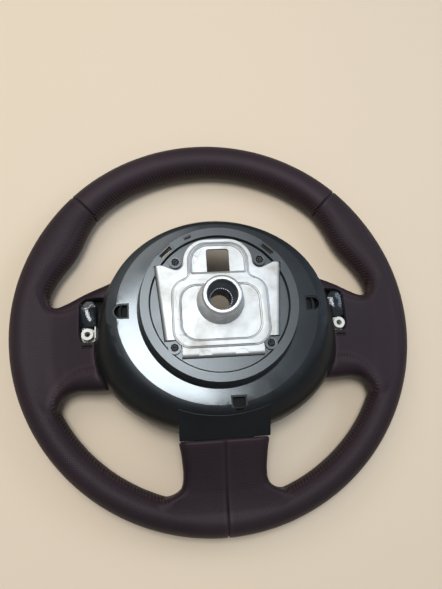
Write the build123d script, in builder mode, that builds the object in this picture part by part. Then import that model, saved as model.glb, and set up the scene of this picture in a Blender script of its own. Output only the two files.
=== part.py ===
"""Three-spoke leather car steering wheel, without airbag module and switch packs.

Millimetres. The wheel lies face down: Z is the steering axis and points to the column, Y points to
twelve o'clock, and the front of the rim rests on Z = 0.
"""

import math
import os

from build123d import *

os.makedirs("parts", exist_ok=True)

# Rim
rim_diameter = 375.0
rim_half_thickness = 16.0
top_half_width = 16.0
lower_half_width = 13.9
grip_bulge = 4.8
grip_angle = 29.0
grip_spread = 12.0
ring_tube_radius = 6.0

# Leather and foam
leather_thickness = 1.3
glue_gap = 0.4
seam_angle = 44.5
seam_gap = 0.5

# Side and lower spokes
side_upper = 32.5
side_lower = 60.0
side_rear_z = 39.5
side_front_z = 13.0
lower_half_span = 38.6
lower_rear_z = 51.0
lower_front_z = 19.0
side_edge_radius = 11.5
lower_edge_radius = 9.0
butt_gap = 0.5
leather_proud = 0.8

# Rear cover
cover_face_z = 70.0
cover_edge_z = 26.0
cover_wall = 2.5
face_half_width = 94.3
face_up = 79.5
face_low = 87.4
flare_side = 12.7
flare_up = 9.0
flare_low = 17.1
flare_drop = 25.0
bevel_drop = 1.4
bevel_side = 8.5
bevel_up = 3.2
bevel_low = 6.0
hood_reach_y = 107.0
hood_front_z = 20.0
hood_top_z = 67.0
hood_flare = 6.0
hood_ledge = 0.3
hood_bow = 0.4
hood_root_length = 28.0
disc_radius = 65.0
disc_draft = 3.7
disc_height = 18.0
disc_band = 7.0
dish_depth = 2.5
access_hole_x = 82.0
access_hole_width = 10.6
access_hole_length = 11.0
frame_width = 1.4
frame_depth = 0.7
lower_access_x = 11.5
lower_access_y = 81.0

# Hub plate
plate_z = 90.0
plate_thickness = 2.5
plate_gap = 0.5
bead_height = 1.0
bead_taper = 50.0
foot_z = 64.0
foot_width = 14.0
fold_radius = 3.2
window_width = 19.0
window_bottom = 24.0
window_top = 45.2
screw_x_upper = 35.3
screw_y_upper = 35.1
screw_x_lower = 38.6
screw_y_lower = 36.3
screw_head_radius = 2.8
screw_shank_radius = 1.7
screw_hole_radius = 3.1
screw_boss_radius = 5.2
screw_boss_height = 2.6

# Hub boss
boss_top_z = 108.5
boss_radius = 16.3
boss_base_radius = 19.6
boss_lip_radius = 2.4
socket_radius = 12.0
socket_mouth_radius = 1.0
socket_length = 6.0
socket_cone_length = 8.0
spline_radius = 8.5
spline_depth = 0.8
spline_teeth = 32
spigot_radius = 14.0
spigot_length = 12.0

# Arms, springs and switch pieces
arm_thickness = 3.0
arm_bend_radius = 7.0
lower_arm_x = 15.7
lower_arm_width = 19.0
spring_wire_radius = 1.2
spring_half_span = 19.0
spring_bow = 3.0
carrier_wall = 1.8
carrier_floor_z = 27.0
carrier_insert_z = 34.0
bush_x = 114.6
bush_y = 10.8
bush_radius = 5.3
bush_hole_radius = 2.4
bush_top_z = 36.8
recess_half_width = 7.4
fit_gap = 0.1

# Values worked out from the driving dimensions
rim_radius = rim_diameter / 2
skirt_reach = face_half_width + flare_side
spoke_start_x = skirt_reach + butt_gap
spoke_start_y = hood_reach_y + hood_bow + butt_gap
far = rim_diameter


def half_width(angle):
    """Radial half-width of the rim at an angle from three o'clock, in degrees."""
    rise = min(max((angle + 45.0) / 90.0, 0.0), 1.0)
    blend = rise * rise * (3.0 - 2.0 * rise)
    bulge = grip_bulge * math.exp(-(((angle - grip_angle) / grip_spread) ** 2))
    return lower_half_width + (top_half_width - lower_half_width) * blend + bulge


def rim_plane(angle):
    """Plane across the rim at an angle from three o'clock."""
    reach = rim_radius - half_width(angle)
    turn = math.radians(angle)
    outward = (math.cos(turn), math.sin(turn), 0)
    along = (-math.sin(turn), math.cos(turn), 0)
    centre = (reach * outward[0], reach * outward[1], rim_half_thickness)
    return Plane(origin=centre, x_dir=outward, z_dir=along)


def rim_body(inset):
    """The whole rim, every surface set in by inset."""
    with BuildPart() as rim:
        for angle in range(-110, 111, 10):
            with BuildSketch(rim_plane(angle)):
                Ellipse(half_width(angle) - inset, rim_half_thickness - inset)
        loft()
        split(bisect_by=Plane.YZ, keep=Keep.TOP)
        mirror(about=Plane.YZ)
    return rim.part


# Side spoke stations: share of the way from cover to rim, lower and upper edge beyond the hub end's,
# front and rear face beyond the hub end's.
side_stations = [
    (-0.47, 0.0, 10.0, 0.0, 0.0),
    (-0.31, 0.0, 6.6, 0.0, 0.0),
    (-0.15, 0.0, 3.1, 0.0, 0.0),
    (0.0, 0.0, 0.0, 0.0, 0.0),
    (0.16, -0.7, -2.7, -1.0, -2.0),
    (0.34, -1.0, -6.5, -2.5, -4.0),
    (0.47, 0.2, -9.5, -4.0, -5.5),
    (0.58, 3.5, -11.7, -5.0, -6.5),
    (0.66, 9.5, -13.2, -5.8, -7.3),
    (0.73, 17.0, -13.9, -6.4, -7.9),
    (0.85, 20.0, -13.5, -7.4, -8.7),
    (0.93, 18.0, -10.0, -8.0, -9.5),
    (1.01, 14.0, -3.0, -8.4, -10.3),
    (1.10, 6.0, 3.0, -8.5, -11.0),
    (1.19, -2.0, 7.0, -8.5, -11.5),
]

# Lower spoke stations: share of the way, half-span beyond the hub end's, front and rear face
lower_stations = [
    (-0.34, 0.0, 0.0, 0.0),
    (-0.17, 0.0, 0.0, 0.0),
    (0.0, 0.0, 0.0, 0.0),
    (0.125, -1.3, -2.5, -3.2),
    (0.28, -2.3, -5.5, -7.0),
    (0.47, -3.0, -9.0, -11.5),
    (0.62, -2.7, -11.0, -14.7),
    (0.73, -1.0, -12.2, -16.6),
    (0.80, 2.9, -13.0, -17.8),
    (0.86, 9.4, -13.5, -18.7),
    (0.93, 15.4, -13.8, -20.0),
    (1.02, 17.4, -14.0, -21.5),
    (1.12, 11.4, -14.0, -22.5),
]


def side_spoke(inset):
    """Right-hand spoke from the hood to inside the rim, set in by inset."""
    root = rim_radius - 2 * half_width(0)
    with BuildPart() as spoke:
        for share, low, high, front, rear in side_stations:
            x = spoke_start_x + share * (root - spoke_start_x)
            y_low = -(side_lower + low)
            y_high = side_upper + high
            z_front = side_front_z + front
            z_rear = side_rear_z + rear
            middle = (x, (y_low + y_high) / 2, (z_front + z_rear) / 2)
            with BuildSketch(Plane(origin=middle, x_dir=(0, 1, 0), z_dir=(1, 0, 0))):
                RectangleRounded(
                    y_high - y_low - 2 * inset,
                    z_rear - z_front - 2 * inset,
                    side_edge_radius - inset,
                )
        loft()
    return spoke.part


def lower_spoke(inset):
    """Lower spoke from the hood to inside the rim, set in by inset."""
    root = rim_radius - 2 * half_width(-90)
    with BuildPart() as spoke:
        for share, span, front, rear in lower_stations:
            y = -(spoke_start_y + share * (root - spoke_start_y))
            half_span = lower_half_span + span
            z_front = lower_front_z + front
            z_rear = lower_rear_z + rear
            middle = (0, y, (z_front + z_rear) / 2)
            with BuildSketch(Plane(origin=middle, x_dir=(1, 0, 0), z_dir=(0, -1, 0))):
                RectangleRounded(
                    2 * (half_span - inset),
                    z_rear - z_front - 2 * inset,
                    lower_edge_radius - inset,
                )
        loft()
    return spoke.part


def grip_body(inset):
    """Rim and three spokes as one solid, set in by inset."""
    rim = rim_body(inset)
    right = side_spoke(inset)
    lower = lower_spoke(inset)
    with BuildPart() as grip:
        add(rim)
        add(right)
        mirror(right, about=Plane.YZ)
        add(lower)
    return grip.part


def block_outline(z, x_low, x_high, y_low, y_high, radius):
    """Rounded rectangle between two corners, at a height."""
    with BuildSketch(Plane.XY.offset(z), mode=Mode.PRIVATE) as outline:
        with Locations(((x_low + x_high) / 2, (y_low + y_high) / 2)):
            RectangleRounded(x_high - x_low, y_high - y_low, radius)
    return outline.sketch


def cover_outline(z, centre, half_span, up, low):
    """Oval outline of the cover: half an ellipse above its widest line, another below."""
    with BuildSketch(Plane.XY.offset(z), mode=Mode.PRIVATE) as outline:
        with BuildLine():
            EllipticalCenterArc((0, centre), half_span, up, 0, arc_size=180)
            EllipticalCenterArc((0, centre), half_span, low, 180, arc_size=180)
        make_face()
    return outline.sketch


def skirt_size(level):
    """Widest line, half-width and reach up and down of the skirt, from level 0 at its edge to 1."""
    swell = 1.0 - level**3
    centre = -flare_drop * swell
    half_span = face_half_width + flare_side * swell
    up = face_up + flare_up * swell - centre
    low = face_low + flare_low * swell + centre
    return centre, half_span, up, low


def skirt_low_y(level, x):
    """Y of the skirt's lower side at a level, over a place on X."""
    centre, half_span, up, low = skirt_size(level)
    return centre - low * math.sqrt(1.0 - (x / half_span) ** 2)


def hub_space(gap):
    """Column of space inside the cover's plan outline and a gap round it."""
    centre, half_span, up, low = skirt_size(0.0)
    with BuildPart() as space:
        with BuildSketch():
            add(cover_outline(0, centre, half_span + gap, up + gap, low + gap))
            with Locations((0, -(hood_reach_y + hood_bow + gap) / 2)):
                Rectangle(2 * (lower_half_span - leather_proud + gap), hood_reach_y + hood_bow + gap)
        extrude(amount=far)
    return space.part


def sector(start, end):
    """Wedge about the axis between two angles, each side held back by half a seam gap."""
    with BuildPart() as wedge:
        with BuildSketch():
            with BuildLine():
                angles = [start, (2 * start + end) / 3, (start + 2 * end) / 3, end]
                rays = [Vector(far, 0).rotate(Axis.Z, angle) for angle in angles]
                Polyline((0, 0), *[(ray.X, ray.Y) for ray in rays], close=True)
            make_face()
            offset(amount=-seam_gap / 2)
        extrude(amount=far)
    return wedge.part


# Cut-outs that the right-hand spoke's switch pieces need: pocket from the front, recess from the rear
pocket_left = spoke_start_x
pocket_right = 136.6
pocket_low = -35.8
pocket_high = 9.0
pocket_corner = 5.0
recess_top_y = 14.0
slit_length = 9.0
slit_width = 1.6
slit_depth = 4.0
slit_turn = 6.0
slit_y = bush_y + 11.5


def switch_cutout(grow):
    """Space of the switch carrier and of the rear recess, each side grown by grow."""
    width = pocket_right - pocket_left + 2 * grow
    height = pocket_high - pocket_low + 2 * grow
    centre = ((pocket_left + pocket_right) / 2, (pocket_low + pocket_high) / 2)
    with BuildPart() as cutout:
        with BuildSketch():
            with Locations(centre):
                RectangleRounded(width, height, pocket_corner)
        extrude(amount=carrier_floor_z + grow)
        with BuildSketch(Plane.XY.offset(carrier_floor_z - carrier_wall)):
            with Locations((bush_x, (recess_top_y - bush_y) / 2)):
                SlotCenterToCenter(recess_top_y + bush_y, 2 * recess_half_width, rotation=90)
            with Locations((spoke_start_x, (recess_top_y - bush_y) / 2)):
                Rectangle(2 * (bush_x - spoke_start_x), recess_top_y + bush_y + 2 * recess_half_width)
        extrude(amount=far)
        with BuildSketch(Plane.XY.offset(side_rear_z - slit_depth)):
            with Locations((bush_x, -slit_y)):
                Rectangle(slit_length, slit_width, rotation=slit_turn)
        extrude(amount=far)
    return cutout.part


# Leather
outer_grip = grip_body(0.0)
inner_grip = grip_body(leather_thickness)
hub_column = hub_space(butt_gap)
right_cutout = switch_cutout(fit_gap)
top_sector = sector(seam_angle, 180 - seam_angle)
right_sector = sector(-90, seam_angle)

with BuildPart() as leather_top:
    add(outer_grip)
    add(inner_grip, mode=Mode.SUBTRACT)
    add(top_sector, mode=Mode.INTERSECT)
leather_top.part.label = "leather_top"
export_step(leather_top.part, "parts/leather_top.step")

with BuildPart() as leather_right:
    add(outer_grip)
    add(inner_grip, mode=Mode.SUBTRACT)
    add(right_sector, mode=Mode.INTERSECT)
    add(hub_column, mode=Mode.SUBTRACT)
    add(right_cutout, mode=Mode.SUBTRACT)
leather_right.part.label = "leather_right"
export_step(leather_right.part, "parts/leather_right.step")

with BuildPart() as leather_left:
    mirror(leather_right.part, about=Plane.YZ)
leather_left.part.label = "leather_left"
export_step(leather_left.part, "parts/leather_left.step")


# Rim ring
ring_reach = rim_radius - (top_half_width + lower_half_width) / 2
with BuildPart() as rim_ring:
    with BuildSketch(Plane.XZ):
        with Locations((ring_reach, rim_half_thickness)):
            Circle(ring_tube_radius)
    revolve(axis=Axis.Z)
rim_ring.part.label = "rim_ring"
export_step(rim_ring.part, "parts/rim_ring.step")


# Side arms: a bent strip, forked round the switch pocket
arm_flat_end = access_hole_x + 3.0
arm_drop_x = 93.0
arm_drop_z = 25.2
foot_inner_x = 55.0
arm_hub_high = 24.0
arm_hub_low = 30.0
arm_spoke_high = 22.0
arm_spoke_low = 48.0
arm_ring_high = 6.0
arm_ring_low = 46.0
fork_room_x = 5.0
fork_room_y = 1.0
fork_shift = 3.0
fork_corner = 6.0
spring_x = access_hole_x - 2.0


def ring_x(y):
    """X of the ring's centre line at a height above or below the axis."""
    return math.sqrt(ring_reach**2 - y**2)


def arm_profile(plane, start, flat_end, drop, end):
    """Sketch of a bent strip: flat under the foot, down to the spoke, then out to the ring."""
    with BuildSketch(plane) as strip:
        with BuildLine():
            FilletPolyline(
                (start, foot_z - arm_thickness),
                (flat_end, foot_z - arm_thickness),
                drop,
                end,
                radius=arm_bend_radius,
            )
            offset(amount=arm_thickness, side=Side.LEFT)
        make_face()
    return strip.sketch


side_arm_sketch = arm_profile(
    Plane.XZ,
    foot_inner_x,
    arm_flat_end,
    (arm_drop_x, arm_drop_z),
    (ring_reach, rim_half_thickness - arm_thickness / 2),
)
with BuildPart() as right_spoke_arm:
    extrude(side_arm_sketch, amount=far / 4, both=True)
    with BuildSketch():
        with BuildLine():
            Polyline(
                (foot_inner_x, arm_hub_high),
                (spoke_start_x, arm_spoke_high),
                (ring_x(arm_ring_high), arm_ring_high),
                (ring_x(arm_ring_low), -arm_ring_low),
                (spoke_start_x, -arm_spoke_low),
                (foot_inner_x, -arm_hub_low),
                close=True,
            )
        make_face()
        with Locations(((pocket_left + pocket_right) / 2 - fork_shift, (pocket_low + pocket_high) / 2)):
            RectangleRounded(
                pocket_right - pocket_left + 2 * fork_room_x,
                pocket_high - pocket_low + 2 * fork_room_y,
                fork_corner,
                mode=Mode.SUBTRACT,
            )
    extrude(amount=far, mode=Mode.INTERSECT)
    with Locations((spring_x, spring_half_span, 0), (spring_x, -spring_half_span, 0)):
        Cylinder(spring_wire_radius + fit_gap, far, mode=Mode.SUBTRACT)
    add(rim_ring.part, mode=Mode.SUBTRACT)
right_spoke_arm.part.label = "right_spoke_arm"
export_step(right_spoke_arm.part, "parts/right_spoke_arm.step")

with BuildPart() as left_spoke_arm:
    mirror(right_spoke_arm.part, about=Plane.YZ)
left_spoke_arm.part.label = "left_spoke_arm"
export_step(left_spoke_arm.part, "parts/left_spoke_arm.step")


# Lower arms: two bent strips in the lower spoke
lower_foot_start = 47.0
lower_spring_shift = 7.0
lower_drop_y = 104.5
lower_drop_z = 37.0
lower_flat_end = lower_access_y + 4.0
lower_arm_sketch = arm_profile(
    Plane(origin=(0, 0, 0), x_dir=(0, -1, 0), z_dir=(-1, 0, 0)),
    lower_foot_start,
    lower_flat_end,
    (lower_drop_y, lower_drop_z),
    (ring_x(lower_arm_x), rim_half_thickness - arm_thickness / 2),
)
lower_spring_x = (-lower_arm_x, lower_arm_x + lower_spring_shift)
with BuildPart() as lower_right_arm:
    extrude(lower_arm_sketch, amount=far / 4, both=True)
    with Locations((lower_arm_x, -far / 4, 0)):
        Box(lower_arm_width, far / 2, far, mode=Mode.INTERSECT)
    with Locations((lower_spring_x[1], -lower_access_y, 0)):
        Cylinder(spring_wire_radius + fit_gap, far, mode=Mode.SUBTRACT)
    add(rim_ring.part, mode=Mode.SUBTRACT)
lower_right_arm.part.label = "lower_right_arm"
export_step(lower_right_arm.part, "parts/lower_right_arm.step")

with BuildPart() as lower_left_arm:
    extrude(lower_arm_sketch, amount=far / 4, both=True)
    with Locations((-lower_arm_x, -far / 4, 0)):
        Box(lower_arm_width, far / 2, far, mode=Mode.INTERSECT)
    with Locations((lower_spring_x[0], -lower_access_y, 0)):
        Cylinder(spring_wire_radius + fit_gap, far, mode=Mode.SUBTRACT)
    add(rim_ring.part, mode=Mode.SUBTRACT)
lower_left_arm.part.label = "lower_left_arm"
export_step(lower_left_arm.part, "parts/lower_left_arm.step")


# Foam body under the leather
foam_grip = grip_body(leather_thickness + glue_gap)
with BuildPart() as arm_space:
    for arm in (right_spoke_arm, left_spoke_arm, lower_right_arm, lower_left_arm):
        add(arm.part)
with BuildPart() as foam_body:
    add(foam_grip)
    add(hub_space(fit_gap), mode=Mode.SUBTRACT)
    add(rim_ring.part, mode=Mode.SUBTRACT)
    add(arm_space.part, mode=Mode.SUBTRACT)
    add(right_cutout, mode=Mode.SUBTRACT)
    mirror(right_cutout, about=Plane.YZ, mode=Mode.SUBTRACT)
foam_body.part.label = "foam_body"
export_step(foam_body.part, "parts/foam_body.step")


# Hub plate outline: right-hand corners from the lobe down to the lower tab, with their radii
lobe_half_width = 28.6
lobe_top = 53.8
shoulder_y = 27.6
tab_half_width = 32.6
tab_bottom = 45.0
side_top_x = 52.5
side_top_y = 31.8
side_low_x = 46.3
side_low_y = 30.2
plate_corners = [
    (lobe_half_width, lobe_top, 19.5),
    (lobe_half_width, shoulder_y, 6.2),
    (36.6, shoulder_y, 4.0),
    (46.5, 32.2, 3.0),
    (side_top_x, side_top_y, 0),
    (side_low_x, -side_low_y, 0),
    (tab_half_width, -side_low_y, 6.0),
    (tab_half_width, -tab_bottom, 0),
]

# Bead on the plate: outer outline, then the panel round the boss and the panel in the lobe
panel_half_width = 39.8
panel_top = 20.5
panel_bottom = 37.9
bead_corners = [
    (25.6, 51.6, 17.0),
    (25.6, panel_top, 4.0),
    (panel_half_width, panel_top, 14.0),
    (panel_half_width, -panel_bottom, 15.0),
]
inner_panel_width = 66.6
inner_panel_height = 47.4
inner_panel_corner = 14.0
lobe_panel_corners = [
    (23.4, 49.6, 15.5),
    (23.4, 23.5, 2.0),
]


def mirrored_outline(corners):
    """Closed sketch from right-hand corners, each with its radius, and their mirror images."""
    left = [(-x, y, radius) for x, y, radius in reversed(corners)]
    points = corners + left
    with BuildSketch(mode=Mode.PRIVATE) as outline:
        with BuildLine():
            FilletPolyline(
                *[(x, y) for x, y, radius in points],
                radius=[radius for x, y, radius in points],
                close=True,
            )
        make_face()
    return outline.sketch


plate_outline = mirrored_outline(plate_corners)
bead_outline = mirrored_outline(bead_corners)
lobe_panel = mirrored_outline(lobe_panel_corners)
plate_top = plate_z - bead_height
plate_bottom = plate_top - plate_thickness
ear_radius = 9.0
ear_top = cover_face_z + disc_height - dish_depth - cover_wall - fit_gap
screw_places = [
    (screw_x_upper, screw_y_upper),
    (-screw_x_upper, screw_y_upper),
    (screw_x_lower, -screw_y_lower),
    (-screw_x_lower, -screw_y_lower),
]
flange_low_y = 28.2
flange_high_y = 29.8
tab_flange_width = 61.2
window_corner = 2.5


def side_x(y):
    """X of the plate's slanted side at a height."""
    share = (y + side_low_y) / (side_top_y + side_low_y)
    return side_low_x + share * (side_top_x - side_low_x)


def side_strip(inside, outside):
    """Strip along the plate's right side, from inside to outside of its edge."""
    with BuildSketch(mode=Mode.PRIVATE) as strip:
        with BuildLine():
            Polyline(
                (side_x(flange_high_y) - inside, flange_high_y),
                (side_x(flange_high_y) + outside, flange_high_y),
                (side_x(-flange_low_y) + outside, -flange_low_y),
                (side_x(-flange_low_y) - inside, -flange_low_y),
                close=True,
            )
        make_face()
    return strip.sketch


flange_strip = side_strip(plate_thickness, 0)
foot_strip = side_strip(plate_thickness, foot_width - plate_thickness)
mark_x = 14.5
mark_radius = 5.5
mark_depth = 0.5

with BuildPart() as hub_plate:
    with BuildSketch(Plane.XY.offset(plate_bottom)):
        add(plate_outline)
    extrude(amount=plate_thickness)
    with BuildSketch(Plane.XY.offset(foot_z)):
        add(flange_strip)
        mirror(flange_strip, about=Plane.YZ)
        with Locations((0, -tab_bottom + plate_thickness / 2)):
            Rectangle(tab_flange_width, plate_thickness)
    extrude(amount=plate_top - foot_z)
    folds = hub_plate.edges().filter_by(GeomType.LINE).group_by(Axis.Z)[-1]
    side_folds = [edge for edge in folds if edge.length > 1.5 * side_low_y]
    fillet(side_folds, fold_radius)
    with BuildSketch(Plane.XY.offset(foot_z)):
        add(foot_strip)
        mirror(foot_strip, about=Plane.YZ)
        with Locations((0, -tab_bottom - foot_width / 2 + plate_thickness)):
            Rectangle(tab_flange_width, foot_width)
    extrude(amount=plate_thickness)
    with BuildSketch(Plane.XY.offset(plate_top)):
        add(bead_outline)
    extrude(amount=bead_height, taper=bead_taper)
    with BuildSketch(Plane.XY.offset(plate_z)):
        with Locations((0, (panel_top - panel_bottom) / 2)):
            RectangleRounded(inner_panel_width, inner_panel_height, inner_panel_corner)
        add(lobe_panel)
    extrude(amount=-bead_height, taper=bead_taper, mode=Mode.SUBTRACT)
    with Locations(*[(x, y, ear_top) for x, y in screw_places]):
        Cylinder(
            ear_radius, plate_thickness, align=(Align.CENTER, Align.CENTER, Align.MAX)
        )
    with BuildSketch(Plane.XY.offset(ear_top - plate_thickness)):
        add(plate_outline)
        with BuildSketch(mode=Mode.INTERSECT):
            with Locations(*screw_places):
                Circle(ear_radius)
    extrude(amount=plate_bottom - ear_top + plate_thickness)
    with BuildSketch(Plane.XY.offset(plate_z)):
        with Locations((0, (window_bottom + window_top) / 2)):
            RectangleRounded(window_width, window_top - window_bottom, window_corner)
        Circle(spigot_radius + fit_gap / 2)
    extrude(amount=-far / 10, mode=Mode.SUBTRACT)
    with Locations(*[(x, y, ear_top) for x, y in screw_places]):
        Hole(screw_shank_radius + fit_gap / 2, far / 10)
    with Locations(*[(x, -tab_bottom, plate_top) for x in (-mark_x, mark_x)]):
        Cylinder(mark_radius, 2 * mark_depth, mode=Mode.SUBTRACT)
hub_plate.part.label = "hub_plate"
export_step(hub_plate.part, "parts/hub_plate.step")


# Hub boss: flared root, socket that narrows to the splined bore
boss_flare_z = boss_top_z - boss_lip_radius - 0.6
boss_waist_z = plate_top + 5.0
boss_waist_radius = 17.7
socket_z = boss_top_z - socket_length
spline_z = socket_z - socket_cone_length
with BuildPart() as hub_boss:
    with BuildSketch(Plane.XZ):
        with BuildLine():
            Polyline(
                (boss_base_radius, plate_top),
                (spigot_radius, plate_top),
                (spigot_radius, plate_bottom - spigot_length),
                (0, plate_bottom - spigot_length),
                (0, boss_top_z),
                (boss_radius, boss_top_z),
                (boss_radius, boss_flare_z),
            )
            ThreePointArc(
                (boss_radius, boss_flare_z),
                (boss_waist_radius, boss_waist_z),
                (boss_base_radius, plate_top),
            )
        make_face()
    revolve(axis=Axis.Z)
    fillet(hub_boss.edges().group_by(Axis.Z)[-1], boss_lip_radius)
    with BuildSketch(Plane.XZ):
        with BuildLine():
            Polyline(
                (0, boss_top_z),
                (socket_radius, boss_top_z),
                (socket_radius, socket_z),
                (spline_radius + spline_depth, spline_z),
                (0, spline_z),
                close=True,
            )
        make_face()
    revolve(axis=Axis.Z, mode=Mode.SUBTRACT)
    mouth = hub_boss.edges().filter_by(GeomType.CIRCLE).group_by(Axis.Z)[-1].sort_by(SortBy.RADIUS)[0]
    fillet(mouth, socket_mouth_radius)
    with Locations((0, 0, boss_top_z)):
        Hole(spline_radius, far)
    with BuildSketch(Plane.XY.offset(spline_z)):
        with PolarLocations(spline_radius, spline_teeth):
            Rectangle(2 * spline_depth, math.pi * spline_radius / spline_teeth)
    extrude(amount=-far / 4, mode=Mode.SUBTRACT)
hub_boss.part.label = "hub_boss"
export_step(hub_boss.part, "parts/hub_boss.step")


# Rear cover
cover_levels = [0.0, 0.3, 0.55, 0.75, 0.9, 1.0]
skirt_top_z = cover_face_z - bevel_drop
hood_tuck = 1.0
hollow_share = 0.55
disc_top_z = cover_face_z + disc_height
floor_z = disc_top_z - dish_depth


def skirt_sections(inset, top_z):
    """Outlines of the skirt from its front edge up to top_z, set in by inset."""
    sections = []
    for level in cover_levels:
        centre, half_span, up, low = skirt_size(level)
        z = cover_edge_z + level * (top_z - cover_edge_z)
        sections.append(cover_outline(z, centre, half_span - inset, up - inset, low - inset))
    return sections


def hood_outline(z, half_span, front_y, bow_y, flare, inset):
    """Outline of the lower hood at a height, its sides flaring into the skirt."""
    level = (z - cover_edge_z) / (skirt_top_z - cover_edge_z)
    far_x = half_span + hood_root_length
    corner = Vector(half_span, skirt_low_y(level, half_span) + hood_tuck + inset)
    root = Vector(far_x, skirt_low_y(level, far_x) + hood_tuck + inset)
    low = corner - Vector(0, flare)
    out = corner + (root - corner).normalized() * flare
    hollow = corner + ((low + out) / 2 - corner) * hollow_share
    with BuildSketch(Plane.XY.offset(z - inset), mode=Mode.PRIVATE) as outline:
        with BuildLine():
            ThreePointArc((-half_span, front_y), (0, bow_y), (half_span, front_y))
            for side in (1, -1):
                Line((side * half_span, front_y), (side * low.X, low.Y))
                ThreePointArc((side * low.X, low.Y), (side * hollow.X, hollow.Y), (side * out.X, out.Y))
                Line((side * out.X, out.Y), (side * root.X, root.Y))
            Line((root.X, root.Y), (-root.X, root.Y))
        make_face()
    return outline.sketch


def lower_hood(inset):
    """Hood over the lower spoke, from a straight front edge up to the skirt's curve, set in by inset."""
    base_z = lower_rear_z - leather_proud
    half_span = lower_half_span - leather_proud - inset
    top_level = (hood_top_z - cover_edge_z) / (skirt_top_z - cover_edge_z)
    front_y = -(hood_reach_y - inset)
    top_front_y = skirt_low_y(top_level, half_span) - hood_ledge + inset
    top_bow_y = skirt_low_y(top_level, 0.0) - hood_ledge + inset
    base = hood_outline(base_z, half_span, front_y, front_y - hood_bow, hood_flare, inset)
    top = hood_outline(hood_top_z, half_span, top_front_y, top_bow_y, 2 * hood_ledge, inset)
    with BuildPart() as shape:
        loft([base, top])
        extrude(base, amount=-(base_z - inset - hood_front_z))
    return shape.part


def access_hole(x, y, turn, grow):
    """D-shaped hole, flat towards the axis, its round end turned outwards, grown all round."""
    radius = access_hole_width / 2
    with BuildSketch(mode=Mode.PRIVATE) as hole:
        with Locations(Location((x, y, 0), turn)):
            with Locations((access_hole_length / 2 - radius, 0)):
                Circle(radius + grow)
            with Locations((-(radius + grow) / 2, 0)):
                Rectangle(access_hole_length - radius + grow, access_hole_width + 2 * grow)
    return hole.sketch


def access_holes(grow):
    """The three D-shaped holes, grown all round."""
    with BuildSketch(Plane.XY.offset(cover_face_z), mode=Mode.PRIVATE) as holes:
        add(access_hole(access_hole_x, 0, 0, grow))
        add(access_hole(-access_hole_x, 0, 180, grow))
        add(access_hole(lower_access_x, -lower_access_y, -90, grow))
    return holes.sketch


def disc_slots(grow):
    """Two long slots and a short one in the disc's band, grown all round."""
    with BuildSketch(Plane.XY.offset(disc_top_z), mode=Mode.PRIVATE) as slots:
        for angle in (side_slot_angle, 180 - side_slot_angle):
            with PolarLocations(slot_reach, 1, start_angle=angle):
                Rectangle(slot_width + 2 * grow, slot_length + 2 * grow)
        with PolarLocations(slot_reach, 1, start_angle=small_slot_angle):
            Rectangle(slot_width / 2 + grow, slot_length / 2 + grow)
    return slots.sketch


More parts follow.
